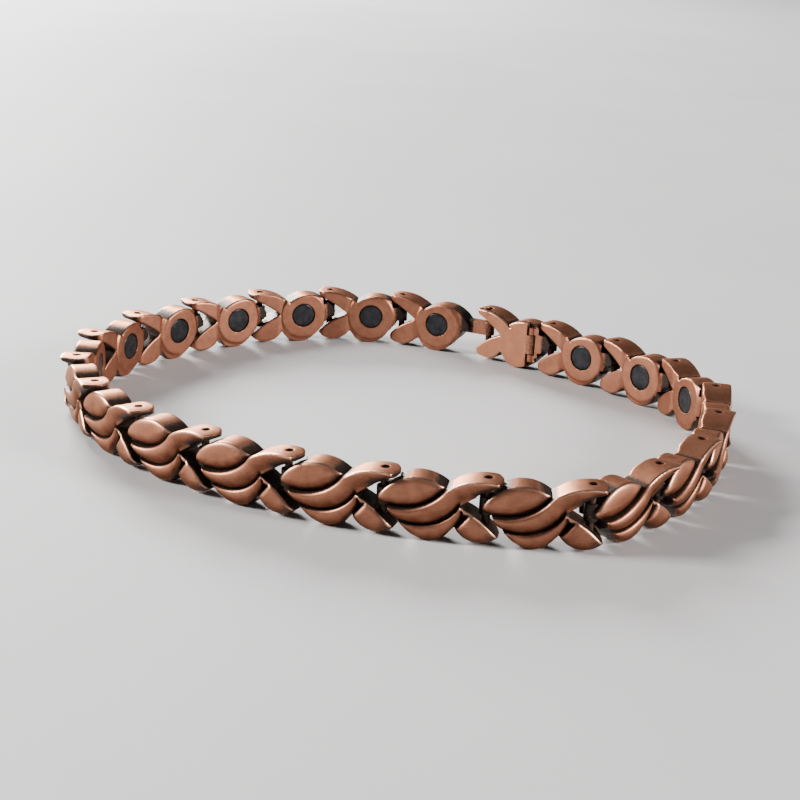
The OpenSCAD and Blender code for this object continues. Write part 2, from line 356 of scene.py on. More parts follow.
def outline(a, z):
    """Distance inside the link's outline"""
    leaf_top = within("leaf_top", a, z)
    petal = np.min([within(name, a, z) for name in PETAL_DROPS], axis=0)
    vine = np.minimum(within("vine_bottom", a, z), inside("vine", a, z))
    prong = np.min([within("vine_top", a, z), -within("vine_under", a, z), inside("prong", a, z)], axis=0)
    crescent = np.min([within("crescent_bottom", a, z), leaf_top, inside("crescent", a, z)], axis=0)
    leaf = np.min([leaf_top, within("leaf_bottom", a, z), inside("leaf", a, z)], axis=0)
    right = smax(smax(prong, crescent, CROTCH_FILLET), leaf, CROTCH_FILLET)
    return np.max([petal, vine, right], axis=0)


def slab(x, span):
    """Distance outside a span"""
    return np.abs(x - (span[0] + span[1]) / 2) - (span[1] - span[0]) / 2


def prong_ends(a, t):
    """Distance outside the prongs' ends: round toward the wrist, squarer in front"""
    x = np.maximum(a - PITCH, 0)
    outward = np.maximum(t, 0)
    inner = np.hypot(x / PRONG_LENGTH, t / REACH)
    tapered = x / (PRONG_LENGTH - PRONG_TAPER * outward)
    outer = (tapered ** SQUARENESS + (outward / PRONG_FRONT) ** SQUARENESS) ** (1 / SQUARENESS)
    return (np.where(t > 0, outer, inner) - 1) * REACH


def pin_holes(a, t, z, longer=0):
    """Distance outside the bores: through the tongue, and down the prongs to just under the pin"""
    first = np.hypot(a + longer, t) - PIN_BORE
    second = smax(np.hypot(a - PITCH, t) - PIN_BORE, PIN_BOTTOM - PIN_GAP - z, DRILLED_CORNER)
    return np.minimum(first, second)


def turn_room(a, t, z):
    """Room over and under the tongue for the prongs of the link before"""
    round_room = smax(np.hypot(a, t) - TURN_R, t, ROOM_CORNER)
    return smax(round_room, -slab(z, TONGUE_ROOM), ROOM_CORNER)


def tongue(a, t, z, longer=0):
    """Distance outside the tongue: a knuckle, on a shank where the tongue is longer"""
    knuckle = smax(np.hypot(a + longer, t) - KNUCKLE_R, slab(z, KNUCKLE_SPAN), KNUCKLE_EDGE)
    if not longer:
        return knuckle
    section = smax(np.abs(t) - KNUCKLE_R, slab(z, KNUCKLE_SPAN), SHANK_EDGE)
    shank = smax(slab(a, (-longer, SHANK_END)), section, ROOM_CORNER)
    return np.minimum(knuckle, shank)


def link_field(a, t, z, longer=0):
    """Negative inside a link, in its own frame: along the chain, outward, up"""
    from_cup = np.hypot(a - CUP[0], z - CUP[1])
    raised = np.maximum(ramp(RAISED_R - from_cup, *RAISED_SLOPE), ramp(a, *PRONG_SLOPE))
    boss_r = BOSS_R - BOSS_CUT * ramp(z - CUP[1], *BOSS_CUT_SLOPE)
    boss = smax(from_cup - boss_r, slab(t, (BACK, BOSS_FRONT)), BACK_EDGE)
    cup = smax(from_cup - CUP_R, t - CUP_FLOOR, DRILLED_CORNER)
    body = smax(-outline(a, z), t - front(a, z), FRONT_EDGE)
    body = smax(body, blend(PLATE_BACK, BACK, raised) - t, BACK_EDGE)
    body = smin(body, boss, BOSS_FILLET)
    body = smin(body, tongue(a, t, z, longer), KNUCKLE_FILLET)
    if not longer:
        body = smax(body, -turn_room(a, t, z), ROOM_EDGE)
    body = smax(body, prong_ends(a, t), END_EDGE)
    body = smax(body, -cup, CUP_EDGE)
    return smax(body, -pin_holes(a, t, z, longer), BORE_EDGE)


def end_link_field(a, t, z):
    return link_field(a, t, z, END_TONGUE)


def clasp_link_field(a, t, z):
    """The clasp link: thin behind its shoulder, with hinge lugs and open pin slots"""
    body = smax(-outline(a, z), t - front(a, z), CLASP_FRONT_EDGE)
    back = np.where(a < SHOULDER, PLATE_BACK, CLASP_BACK)
    body = smax(body, back - t, CLASP_BACK_EDGE)
    body = smin(body, tongue(a, t, z), KNUCKLE_FILLET)
    from_hinge = np.hypot(a - HINGE[0], t - HINGE[1])
    block = np.maximum(slab(a, (SHOULDER - LUG_OVERLAP, HINGE[0])), slab(t, LUG_BLOCK))
    for span in LUGS:
        lug = smax(np.minimum(from_hinge - HINGE_R, block), slab(z, span), LUG_EDGE)
        body = smin(body, lug, LUG_FILLET)
    body = smax(body, -turn_room(a, t, z), ROOM_EDGE)
    body = smax(body, prong_ends(a, t), END_EDGE)
    body = smax(body, -pin_holes(a, t, z), BORE_EDGE)
    slot = np.max([np.abs(a - PITCH) - PIN_BORE, t, PIN_BOTTOM - PIN_GAP - z], axis=0)
    body = smax(body, -slot, SLOT_EDGE)
    between_lugs = slab(z, (LEVER_KNUCKLE[0] - HINGE_GAP, LEVER_KNUCKLE[1] + HINGE_GAP))
    body = np.maximum(body, -np.maximum(from_hinge - HINGE_R - HINGE_GAP, between_lugs))
    return np.maximum(body, HINGE_BORE - from_hinge)


def lever_field(a, t, z):
    """The clasp's lever: a plain plate that follows the link's outline, on a round knuckle"""
    plate = smax(LEVER_INSET - outline(a, z), slab(t, LEVER_SPAN), LEVER_EDGE)
    plate = np.maximum(plate, HINGE[0] - a)
    from_hinge = np.hypot(a - HINGE[0], t - HINGE[1])
    knuckle = smax(from_hinge - HINGE_R, slab(z, LEVER_KNUCKLE), KNUCKLE_EDGE)
    body = smin(plate, knuckle, LEVER_FILLET)
    beside_lugs = np.minimum(HINGE[0] + HINGE_R + HINGE_GAP - a, slab(z, LEVER_KNUCKLE))
    body = np.maximum(body, beside_lugs)
    body = smax(body, prong_ends(a, t), LEVER_END_EDGE)
    return np.maximum(body, HINGE_BORE - from_hinge)


def gradient(field, p):
    """Outward unit normals of a field's surface at points"""
    n = np.empty_like(p)
    for k in range(3):
        d = PROBE * (np.arange(3) == k)
        n[:, k] = field(*(p + d).T) - field(*(p - d).T)
    return n / np.maximum(np.linalg.norm(n, axis=1), SHORTEST)[:, None]


def crossings(solid, low, step):
    """Ends of the grid's edges that cross the surface, and the four cells round each of them"""
    count = np.array(solid.shape)
    starts, ends, around = [], [], []
    for k in range(3):
        u, v = (k + 1) % 3, (k + 2) % 3
        here = [slice(None)] * 3
        there = [slice(None)] * 3
        here[k] = slice(0, -1)
        there[k] = slice(1, None)
        at = np.argwhere(solid[tuple(here)] != solid[tuple(there)])
        at = at[(at[:, u] > 0) & (at[:, v] > 0) & (at[:, u] < count[u] - 1) & (at[:, v] < count[v] - 1)]
        starts.append(low + at * step)
        ends.append(starts[-1] + step * (np.arange(3) == k))
        cells = []
        for du, dv in ((0, 0), (1, 0), (1, 1), (0, 1)):
            cell = at.copy()
            cell[:, u] -= du
            cell[:, v] -= dv
            cells.append(np.ravel_multi_index(cell.T, count - 1))
        cells = np.stack(cells, 1)
        leaves = solid[tuple(at.T)]
        cells[leaves] = cells[leaves][:, ::-1]
        around.append(cells)
    return np.concatenate(starts), np.concatenate(ends), np.concatenate(around)


def on_surface(field, a, b):
    """Points between a and b at which the field changes its sign"""
    starts_inside = field(*a.T) < 0
    for _ in range(HALVINGS):
        middle = (a + b) / 2
        same = ((field(*middle.T) < 0) == starts_inside)[:, None]
        a, b = np.where(same, middle, a), np.where(same, b, middle)
    return (a + b) / 2


def contour(field, low, high, step):
    """Dual contouring: a vertex a cell, at the surface's crease where it has one, and quads

    The quads are wound for at_link, whose frame is left-handed.
    """
    low, high, step = (np.array(x, float) for x in (low, high, step))
    count = np.ceil((high - low) / step).astype(int) + 1
    axes = [low[k] + step[k] * np.arange(count[k]) for k in range(3)]
    solid = field(*np.meshgrid(*axes, indexing="ij")) < 0
    starts, ends, around = crossings(solid, low, step)
    p = on_surface(field, starts, ends)
    n = gradient(field, p)
    used, quads = np.unique(around, return_inverse=True)
    quads = quads.reshape(-1, 4)
    middle, weight = np.zeros((len(used), 3)), np.zeros(len(used))
    matrix, target = np.zeros((len(used), 3, 3)), np.zeros((len(used), 3))
    for k in range(4):
        np.add.at(middle, quads[:, k], p)
        np.add.at(weight, quads[:, k], 1)
        np.add.at(matrix, quads[:, k], n[:, :, None] * n[:, None, :])
        np.add.at(target, quads[:, k], (n * p).sum(1)[:, None] * n)
    middle /= weight[:, None]
    pull = PULL * weight[:, None]
    target += pull * middle
    matrix += pull[:, :, None] * np.eye(3)
    point = np.linalg.solve(matrix, target[:, :, None])[:, :, 0]
    corner = low + np.stack(np.unravel_index(used, count - 1), 1) * step
    margin = CELL_MARGIN * step
    return np.clip(point, corner - margin, corner + step + margin), quads


def lathe(profile, segments):
    """Turns a profile of (radius, level) points, from the axis up to the axis, about the level's axis"""
    angle = np.arange(segments) * 2 * math.pi / segments
    inner = profile[1:-1]
    v = [(0, 0, profile[0][1])]
    for r, level in inner:
        v += [(r * math.cos(t), r * math.sin(t), level) for t in angle]
    v.append((0, 0, profile[-1][1]))
    faces = []
    for k in range(segments):
        n = (k + 1) % segments
        faces.append((0, 1 + n, 1 + k))
        for ring in range(len(inner) - 1):
            s = 1 + ring * segments
            faces.append((s + k, s + n, s + segments + n, s + segments + k))
        s = 1 + (len(inner) - 1) * segments
        faces.append((s + k, s + n, len(v) - 1))
    return np.array(v, float), faces


def loop_pins():
    """The loop's pins, numbered as in the source"""
    total = len(HEADINGS) + 2
    walk = [np.array(START_PIN)]
    for k, heading in enumerate(HEADINGS):
        length = PITCH + (END_TONGUE if (BEND_PIN + 1 + k) % total == 0 else 0)
        h = math.radians(heading)
        walk.append(walk[-1] + length * np.array([math.cos(h), math.sin(h)]))
    gap = walk[0] - walk[-1]
    out = np.array([gap[1], -gap[0]]) / math.hypot(*gap)
    corner = (walk[0] + walk[-1]) / 2 + math.sqrt(PITCH ** 2 - gap @ gap / 4) * out
    walk.append(corner)
    return [walk[(i + total - BEND_PIN - 1) % total] for i in range(total)]


PINS = loop_pins()


def at_link(i, p):
    """Points of link i's own frame (along, outward, up) in millimetres, as metres in the shared frame"""
    run = PINS[(i + 1) % len(PINS)] - PINS[i]
    along = run / math.hypot(*run)
    out = np.array([along[1], -along[0]])
    origin = PINS[i] + (END_TONGUE * along if i == 0 else 0)
    xy = origin + p[:, :1] * along + p[:, 1:2] * out
    return np.column_stack([xy, p[:, 2]]) / MM_PER_M


# Facing: how much of a normal points outward, inward or up before a surface counts as such
FACING_OUT = (0.25, 0.6)
FACING_BACK = (0.35, 0.7)
FACING_UP = (0.3, 0.6)
FACING_DOWN = (-0.3, 0.55)
BACK_STARTS = -0.5

# A link's forms in its material: the fades at their edges, and the height that parts prong and leaf
PETAL_FADE = (-0.1, 0.1)
PRONG_FADE = (0, 0.5)
LEAF_FADE = (0, 0.3)
BELONGS = 0.5
CROTCH_Z = 3.9

# Black in the grooves, oxide that reaches up the lower flank of the form above as painted shade: its width
# on the form above and on the one below, and where each groove ends
GROOVE_BLACK = (0.05, 0.45)
GROOVE_EDGE = (0, 0.16)
LEAF_GROOVE_BLACK = (0.1, 0.35)
PETAL_GROOVE_END = 6.15
VINE_GROOVE_END = 7.5
LEAF_GROOVE_START = 5.8
LEAF_GROOVE_TOP = 3.4

# Black on the outer side: oxide low down, and oxide with painted shade toward the tips of petal, prong and
# leaf, on the prong's lower side and along the leaf's sole
LOW_LEVEL = 0.95
LOW_FADE = (0, 0.3)
TIP_OXIDE_AND_SHADE = 0.75
PETAL_TIP = (4.2, 5.7)
LEAF_TIP = (9.0, 10.8)
PRONG_TIP = (7.4, 9.2)
PRONG_TIP_OXIDE_AND_SHADE = 0.9
PRONG_LOWER_SIDE = (-0.3, 0.5)
LEAF_SOLE_OXIDE_AND_SHADE = 0.6
LEAF_SOLE = (0.1, 0.7)

# Burnish and painted highlight along the upper rims
RIM_FADE = (0, 0.26)
RIM_LEVEL = (-0.32, -0.08)
UNDER_SURFACE = 0.12
LEAF_RIM_START = 7.4
FAR_OFF = 10

# Walls: black, partly oxide and partly painted shade, rubbed bare on the prong's and petal's tops and part
# of the soles
WALL_OXIDE_AND_SHADE = 0.95
PRONG_TOP = (6.2, 6.9)
PRONG_TOP_Z = 5
PETAL_TOP = ((1.7, 3.1), (4.0, 5.4))
PETAL_TOP_Z = 4.8
CRESCENT_SOLE = ((3.0, 3.6), (5.4, 6.0))
LEAF_SOLE_SPAN = ((8.2, 8.8), (9.8, 10.4))
SOLE_Z = 1.2
SOLE_RUB = 0.6

# Inner side: black at the knuckle, in the cup and in the low places
REAR_OXIDE = 0.15
KNUCKLE_OXIDE = 0.9
KNUCKLE_FADE = (0.4, 1.2)
CUP_FADE = (1.5, 1.7)
LOW_REAR = -1.1
LOW_REAR_OXIDE = 0.8
NOSE_R = 0.8

# The longer tongue of the first link: its oxide, and the painted highlight along it
TONGUE_FADE = (0.7, 0.9)
TONGUE_OXIDE = 0.2
TONGUE_END_OXIDE = 0.5
TONGUE_END = (2.2, 2.8)
TONGUE_HIGHLIGHT = 0.5
TONGUE_HIGHLIGHT_END = (2.0, 2.4)

# The lever: oxide on its face, at its edges and at the hinge
LEVER_OXIDE = 0.1
LEVER_SIDE = 0.6
LEVER_SIDE_FADE = (0, 0.3)
LEVER_SIDE_OXIDE = 0.7
LEVER_HINGE_FADE = (2.9, 3.2)
LEVER_HINGE_OXIDE = 0.6
LEVER_RIM = (0.02, 0.2)
LEVER_POLISH = 0.5
LEVER_FACE = -0.3

# Turned pieces
PIN_OXIDE = 0.8
HINGE_PIN_OXIDE = 0.35

# Offsets of the grain from one piece to the next, so that no two links look the same
CAST_SHIFT = np.array([17.3, 5.1, 9.7])
TURNED_SHIFT = np.array([3.7, 11.1, 6.3])

# Copper's shaded, middle and burnished tone: painted shade leans toward the first, burnish and painted
# highlight toward the last; and its share of black where oxide and painted shade are thickest
LINK_TONES = ((0.1, 0.033, 0.017, 1), (0.46, 0.198, 0.12, 1), (0.88, 0.52, 0.36, 1))
LEVER_TONES = ((0.24, 0.09, 0.05, 1), (0.58, 0.25, 0.145, 1), (0.88, 0.52, 0.36, 1))
PIN_TONES = ((0.12, 0.045, 0.025, 1), (0.28, 0.12, 0.07, 1), (0.7, 0.4, 0.28, 1))
FULL_BLACK = 1.0
LEVER_BLACK = 0.9
BLACK = (0.01, 0.007, 0.005, 1)
GLOSS_TINT = (1, 0.8, 0.68, 1)

# Noises: the range that their values mostly keep to, and the finer ones' wider range
NOISE_RANGE = (0.3, 0.7)
FINE_RANGE = (0.25, 0.75)
BRUSHING = (0.9, 7.0, 9.0)

# What the noises and layers add to the copper's tone (lighter for the painted highlight, darker for the
# painted shade), oxide, roughness and bump
BRUSHED_TONE = (-0.1, 0.1)
CLOUD_TONE = (0.7, 1.0)
BURNISH_AND_HIGHLIGHT_TONE = 0.45
PAINTED_SHADE_TONE = 0.75
BURNISH_AND_HIGHLIGHT_MIX = 0.65
SPECKLE_OXIDE = (-0.3, 0.3)
BLOTCH_OXIDE = (-0.18, 0.18)
OXIDE_RANGE = (0.3, 0.85)
BRUSHED_ROUGHNESS = (0.36, 0.5)
POLISH_ROUGHNESS = -0.12
BLACK_ROUGHNESS = 0.04
BLACK_METAL = 0.2
BRUSHED_BUMP = 0.6
SPECKLE_BUMP = 0.4
BUMP_STRENGTH = 0.35
BUMP_DEPTH = 0.00003

# The magnets and the floor
MAGNET_TONES = ((0.012, 0.0125, 0.014, 1), (0.04, 0.042, 0.047, 1))
MAGNET_ROUGHNESS = (0.2, 0.36)
MAGNET_METAL = 0.7
MAGNET_BUMP = 0.25
FLOOR_TONES = ((0.5, 0.5, 0.51, 1), (0.54, 0.54, 0.545, 1))
FLOOR_ROUGHNESS = 0.7
FLOOR_CLOUD = 14.0

# Studio, in metres: the floor's corners and the world's light
FLOOR_X = (-2, 2)
FLOOR_Y = (-2, 3)
WORLD_COLOUR = (0.86, 0.9, 1, 1)
WORLD_STRENGTH = 0.1

# The photograph's camera, fitted to the pivots and the magnets: degrees, millimetres and pixels
CAMERA_RISE = 18.059
CAMERA_ROLL = 3.158
CAMERA_DISTANCE = 179.30
CAMERA_AIM = (0.401, -0.864, 3.0)
FOCAL_PIXELS = 1571.1
PICTURE_PIXELS = 800
SENSOR = 36
CLIP_START = 0.01


def groove_black(distance, reached):
    """Black beside a groove: oxide, wide on the form above it as painted shade on its lower flank, narrow
    on the one below
    """
    black = np.where(distance > 0, 1 - ramp(distance, *GROOVE_BLACK), 1 - ramp(-distance, *GROOVE_EDGE))
    return black * reached


def in_groove(a, z):
    """Black in the grooves between the forms: oxide, and painted shade on the lower flank of the form above
    """
    under_petal = groove_black(within("petal_bottom", a, z), a < PETAL_GROOVE_END)
    under_vine = groove_black(within("vine_bottom", a, z), a < VINE_GROOVE_END)
    off_leaf = np.abs(beside(LEAF_GROOVE, a, z))
    by_leaf = (1 - ramp(off_leaf, *LEAF_GROOVE_BLACK)) * (z < LEAF_GROOVE_TOP) * (a > LEAF_GROOVE_START)
    return np.max([under_petal, under_vine, by_leaf], axis=0)


def form_shares(a, z):
    """How much points of a link belong to the petal, the prong and the leaf, from 0 to 1"""
    petal = ramp(within("petal_bottom", a, z), *PETAL_FADE)
    prong = ramp(beside(SPLIT, a, z), *PRONG_FADE) * (z > CROTCH_Z)
    leaf = ramp(-beside(LEAF_GROOVE, a, z), *LEAF_FADE) * (z < CROTCH_Z)
    return petal, prong, leaf


def rim_burnish_and_highlight(p, n, petal, prong):
    """Burnish and painted highlight along the upper rims of petal, prong and leaf, at the outer edge alone
    """
    a, t, z = p.T
    off_leaf = (a < LEAF_RIM_START) | (z > CROTCH_Z)
    rims = [within("petal_top", a, z) + FAR_OFF * (petal < BELONGS),
            within("vine_top", a, z) + FAR_OFF * (prong < BELONGS),
            within("leaf_top", a, z) + FAR_OFF * off_leaf]
    rim = 1 - ramp(np.abs(np.min(rims, axis=0)), *RIM_FADE)
    deeper = p - UNDER_SURFACE * n
    return rim * ramp(t - front(deeper[:, 0], deeper[:, 2]), *RIM_LEVEL)


def face_oxide_and_shade(a, t, z, petal, prong, leaf):
    """Black on a link's outer side: oxide in the grooves and low places, and oxide with painted shade
    toward the tips of petal, prong and leaf, on the prong's lower side and along the leaf's sole
    """
    up, down, _ = vine_edges(a, z)
    lower_side = ramp(across(up, down), *PRONG_LOWER_SIDE)
    near_sole = 1 - ramp(within("leaf_bottom", a, z), *LEAF_SOLE)
    return np.max([
        in_groove(a, z),
        ramp(LOW_LEVEL - t, *LOW_FADE),
        # Oxide with painted shade toward the tips, on the prong's lower side and along the leaf's sole
        TIP_OXIDE_AND_SHADE * petal * ramp(a, *PETAL_TIP),
        PRONG_TIP_OXIDE_AND_SHADE * prong * ramp(a, *PRONG_TIP) * lower_side,
        TIP_OXIDE_AND_SHADE * leaf * ramp(a, *LEAF_TIP),
        LEAF_SOLE_OXIDE_AND_SHADE * leaf * near_sole,
    ], axis=0)


def plateau(x, rise, drop):
    """1 between a rise and a drop, and 0 before and after them"""
    return ramp(x, *rise) * (1 - ramp(x, *drop))


def wall_oxide_and_shade(a, z, n):
    """Black on a link's walls, partly oxide and partly painted shade, less where they are rubbed"""
    upward = ramp(n[:, 2], *FACING_UP)
    downward = ramp(-n[:, 2], *FACING_UP)
    on_prong = ramp(a, *PRONG_TOP) * (z > PRONG_TOP_Z)
    on_petal = plateau(a, *PETAL_TOP) * (z > PETAL_TOP_Z)
    on_sole = np.maximum(plateau(a, *CRESCENT_SOLE), plateau(a, *LEAF_SOLE_SPAN)) * (z < SOLE_Z)
    side = WALL_OXIDE_AND_SHADE * (1 - upward * np.maximum(on_prong, on_petal))
    return side * (1 - SOLE_RUB * downward * on_sole)


def rear_oxide(a, t, z):
    """Black on a link's inner side"""
    from_cup = np.hypot(a - CUP[0], z - CUP[1])
    at_knuckle = KNUCKLE_OXIDE * (1 - ramp(a, *KNUCKLE_FADE)) + REAR_OXIDE
    in_cup = 1 - ramp(from_cup, *CUP_FADE)
    return np.max([at_knuckle, in_cup, LOW_REAR_OXIDE * (t > LOW_REAR)], axis=0)


def wear_and_painted_light(p, n):
    """Oxide with painted shade, burnish with painted highlight, and painted shade on the lower sides of a
    link at points with normals, from 0 to 1
    """
    a, t, z = p.T
    out = ramp(n[:, 1], *FACING_OUT)
    back = ramp(-n[:, 1], *FACING_BACK) * (t < BACK_STARTS)
    wall = np.clip(1 - out - back, 0, 1)
    petal, prong, leaf = form_shares(a, z)
    # Burnish and painted highlight along the upper rims
    rim = rim_burnish_and_highlight(p, n, petal, prong)
    face = face_oxide_and_shade(a, t, z, petal, prong, leaf) * (1 - rim)
    nose = (np.hypot(a, t) < NOSE_R) & (petal < BELONGS)
    # Black: oxide in hollows and low places, with painted shade on the walls, toward the tips and above the
    # grooves
    oxide_and_shade = np.maximum(out * face + back * rear_oxide(a, t, z) + wall * wall_oxide_and_shade(a, z, n), nose)
    on_tongue = ramp(-a, *TONGUE_FADE)
    tongue_oxide = TONGUE_OXIDE + TONGUE_END_OXIDE * ramp(-a, *TONGUE_END)
    oxide_and_shade = blend(oxide_and_shade, tongue_oxide, on_tongue)
    # Painted highlight along the first link's long tongue, kept off its far end
    rim = np.maximum(rim, TONGUE_HIGHLIGHT * on_tongue * (1 - ramp(-a, *TONGUE_HIGHLIGHT_END)))
    # Burnish and painted highlight, on outer faces and walls alone
    burnish_and_highlight = rim * np.clip(out + wall, 0, 1)
    # The last layer is painted shade on outer faces that turn downward
    return np.clip(oxide_and_shade, 0, 1), np.clip(burnish_and_highlight, 0, 1), out * ramp(-n[:, 2], *FACING_DOWN)


def plain_wear(p, n):
    """Oxide and polish of the lever: black on its edges and at the hinge alone"""
    a, _, z = p.T
    facing = n[:, 1]
    on_side = LEVER_SIDE_OXIDE * ramp(LEVER_SIDE - np.abs(facing), *LEVER_SIDE_FADE)
    at_hinge = LEVER_HINGE_OXIDE * (1 - ramp(a, *LEVER_HINGE_FADE))
    oxide_and_shade = np.maximum(np.maximum(on_side, at_hinge), LEVER_OXIDE)
    rim = 1 - ramp(outline(a, z) - LEVER_INSET, *LEVER_RIM)
    return oxide_and_shade, LEVER_POLISH * rim * (facing < LEVER_FACE), np.zeros(len(a))


def make_object(name, body, vertices, faces, material, layers, stands_for):
    """A mesh piece in metres that rides on a body; layers are the point attributes of its material"""
    mesh = bpy.data.meshes.new(name)
    mesh.from_pydata(vertices.tolist(), [], [list(map(int, f)) for f in faces])
    for key, values in layers.items():
        kind = "FLOAT_VECTOR" if values.ndim == 2 else "FLOAT"
        field = "vector" if values.ndim == 2 else "value"
        mesh.attributes.new(key, kind, "POINT").data.foreach_set(field, values.astype(np.float32).ravel())
    mesh.update()
    mesh.polygons.foreach_set("use_smooth", [True] * len(mesh.polygons))
    mesh.set_sharp_from_angle(angle=math.radians(SHARP_ANGLE))
    mesh.materials.append(material)
    piece = bpy.data.objects.new(name, mesh)
    bpy.context.scene.collection.objects.link(piece)
    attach(piece, body)
    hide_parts(stands_for)


class Nodes:
    """A material's node tree, with short calls for the nodes that the materials here use"""

    def __init__(self, name):
        self.material = bpy.data.materials.new(name)
        self.material.use_nodes = True
        self.tree = self.material.node_tree
        self.shader = self.tree.nodes["Principled BSDF"]

    def add(self, kind, inputs=(), **settings):
        node = self.tree.nodes.new(kind)
        for key, value in settings.items():
            setattr(node, key, value)
        for key, value in dict(inputs).items():
            self.put(node.inputs[key], value)
        return node

    def put(self, socket, value):
        if isinstance(value, bpy.types.NodeSocket):
            self.tree.links.new(value, socket)
        else:
            socket.default_value = value

    def attribute(self, name, output):
        return self.add("ShaderNodeAttribute", attribute_name=name).outputs[output]

    def math(self, operation, a, b, clamp=False):
        node = self.add("ShaderNodeMath", {0: a, 1: b}, operation=operation, use_clamp=clamp)
        return node.outputs[0]

    def times(self, value, factor, clamp=False):
        return self.math("MULTIPLY", value, factor, clamp)

    def plus(self, a, b):
        return self.math("ADD", a, b)

    def stretch(self, vector, scale):
        return self.add("ShaderNodeMapping", {"Vector": vector, "Scale": scale}).outputs[0]

    def noise(self, vector, scale, detail=3.0, roughness=0.55):
        node = self.add("ShaderNodeTexNoise", {"Vector": vector, "Scale": scale, "Detail": detail,
                                               "Roughness": roughness})
        return node.outputs["Fac"]

    def remap(self, value, old, new):
        node = self.add("ShaderNodeMapRange", {"Value": value, "From Min": old[0], "From Max": old[1],
                                               "To Min": new[0], "To Max": new[1]})
        return node.outputs[0]

    def blend(self, share, one, two):
        """Mix of two colours; a mix node's inputs 6 and 7 are its colours, and its output 2 the result"""
        node = self.add("ShaderNodeMix", data_type="RGBA")
        self.put(node.inputs[0], share)
        self.put(node.inputs[6], one)
        self.put(node.inputs[7], two)
        return node.outputs[2]

    def bump(self, height, strength):
        node = self.add("ShaderNodeBump", {"Height": height, "Strength": strength, "Distance": BUMP_DEPTH})
        return node.outputs[0]

    def shade(self, **sockets):
        for key, value in sockets.items():
            self.put(self.shader.inputs[key.replace("_", " ")], value)
        return self.material


def antique_copper(name, tones, black_share):
    """Satin copper with a brushed grain: black where the oxide layer is high, which holds oxide and painted
    shade; brighter where the burnish layer is, which holds burnish and painted highlight; darker where the
    layer of painted shade on the lower sides is
    """
    shaded, middle, burnished = tones
    n = Nodes(name)
    grain = n.attribute("grain", "Vector")
    # Layers: black for oxide and painted shade, lighter for burnish and painted highlight, darker for
    # painted shade on the lower sides
    oxide_and_shade, burnish_and_highlight, painted_shade = [n.attribute(layer, "Fac") for layer in ("oxide_and_shade", "burnish_and_highlight", "painted_shade")]
    brushed = n.noise(n.stretch(grain, BRUSHING), scale=1.6, detail=4.0)
    speckle = n.noise(grain, scale=9.0, roughness=0.6)
    cloud = n.noise(grain, scale=0.8)
    blotch = n.noise(grain, scale=3.0, detail=4.0, roughness=0.6)
    tone = n.plus(n.remap(brushed, NOISE_RANGE, BRUSHED_TONE), n.remap(cloud, NOISE_RANGE, CLOUD_TONE))
    # Burnish and painted highlight lighten the tone
    tone = n.plus(tone, n.times(burnish_and_highlight, BURNISH_AND_HIGHLIGHT_TONE))
    # Painted shade darkens the tone on the lower sides
    tone = n.math("SUBTRACT", tone, n.times(painted_shade, PAINTED_SHADE_TONE), clamp=True)
    copper = n.blend(tone, shaded, middle)
    # Burnish and painted highlight pull toward the burnished tone
    copper = n.blend(n.times(burnish_and_highlight, BURNISH_AND_HIGHLIGHT_MIX, clamp=True), copper, burnished)
    ragged = n.plus(n.remap(speckle, FINE_RANGE, SPECKLE_OXIDE), n.remap(blotch, FINE_RANGE, BLOTCH_OXIDE))
    # Black from oxide and painted shade, frayed by noise
    black = n.remap(n.plus(oxide_and_shade, ragged), OXIDE_RANGE, (0.0, black_share))
    rough = n.plus(n.remap(brushed, NOISE_RANGE, BRUSHED_ROUGHNESS), n.times(burnish_and_highlight, POLISH_ROUGHNESS))
    rough = n.plus(rough, n.times(black, BLACK_ROUGHNESS))
    fine = n.plus(n.times(brushed, BRUSHED_BUMP), n.times(speckle, SPECKLE_BUMP))
    return n.shade(Base_Color=n.blend(black, copper, BLACK), Roughness=rough,
                   Metallic=n.remap(black, (0.0, 1.0), (1.0, BLACK_METAL)), Specular_Tint=GLOSS_TINT,
                   Normal=n.bump(fine, BUMP_STRENGTH))


def magnet_grey():
    """Dark grey semi-gloss of a plated magnet, with faint wear"""
    n = Nodes("magnet_grey")
    grain = n.attribute("grain", "Vector")
    cloud = n.noise(grain, scale=1.2, detail=4.0)
    speckle = n.noise(grain, scale=9.0, roughness=0.6)
    colour = n.blend(n.remap(cloud, NOISE_RANGE, (0.0, 1.0)), *MAGNET_TONES)
    return n.shade(Base_Color=colour, Roughness=n.remap(speckle, FINE_RANGE, MAGNET_ROUGHNESS),
                   Metallic=MAGNET_METAL, Normal=n.bump(speckle, MAGNET_BUMP))


def pale_floor():
    n = Nodes("pale_floor")
    place = n.add("ShaderNodeTexCoord").outputs["Object"]
    cloud = n.noise(place, scale=FLOOR_CLOUD)
    colour = n.blend(n.remap(cloud, NOISE_RANGE, (0.0, 1.0)), *FLOOR_TONES)
    return n.shade(Base_Color=colour, Roughness=FLOOR_ROUGHNESS)


link_copper = antique_copper("link_copper", LINK_TONES, FULL_BLACK)
lever_copper = antique_copper("lever_copper", LEVER_TONES, LEVER_BLACK)
pin_copper = antique_copper("pin_copper", PIN_TONES, FULL_BLACK)
magnet_material = magnet_grey()


def cast_layers(field, p, i, rule):
    """Point attributes of a casting, from its place in the loop and a rule for its wear and painted light
    """
    oxide_and_shade, burnish_and_highlight, painted_shade = rule(p, gradient(field, p))
    return {"grain": p + CAST_SHIFT * i, "oxide_and_shade": oxide_and_shade, "burnish_and_highlight": burnish_and_highlight, "painted_shade": painted_shade}


